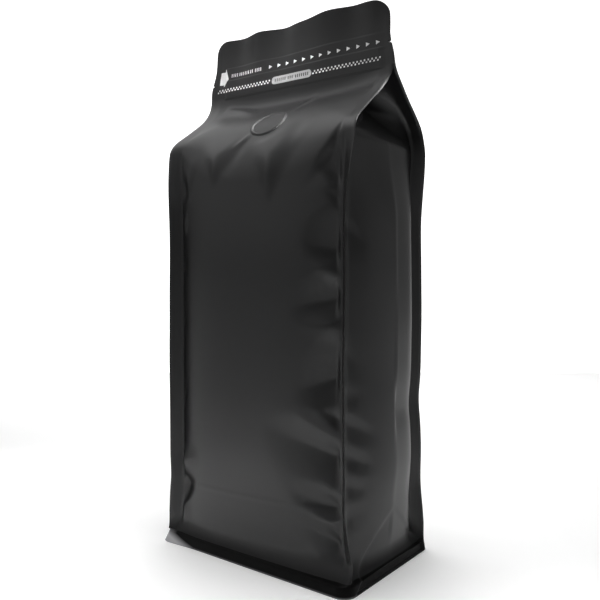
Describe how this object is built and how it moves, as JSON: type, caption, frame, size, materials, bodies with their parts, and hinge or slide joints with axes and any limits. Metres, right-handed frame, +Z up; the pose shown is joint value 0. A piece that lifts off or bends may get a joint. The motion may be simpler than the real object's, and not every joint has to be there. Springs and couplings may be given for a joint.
{
  "type": "block bottom bag",
  "caption": "Filled matte black block bottom coffee bag with corner fins, tucked sides, a flat zip header with tear notches and a round degassing valve",
  "frame": {"origin": "on the ground, under the middle of the bag's outer box", "axes": "+X to the right across the front, +Y to the back, +Z up; the printed front with the valve faces -Y"},
  "size_m": [0.148, 0.097, 0.337],
  "materials": {
    "film": "satin matte laminated film, black, with white print on the header",
    "valve": "satin black, under the film"
  },
  "bodies": {
    "root": {"pouch": "film", "valve": "valve"}
  },
  "joints": []
}
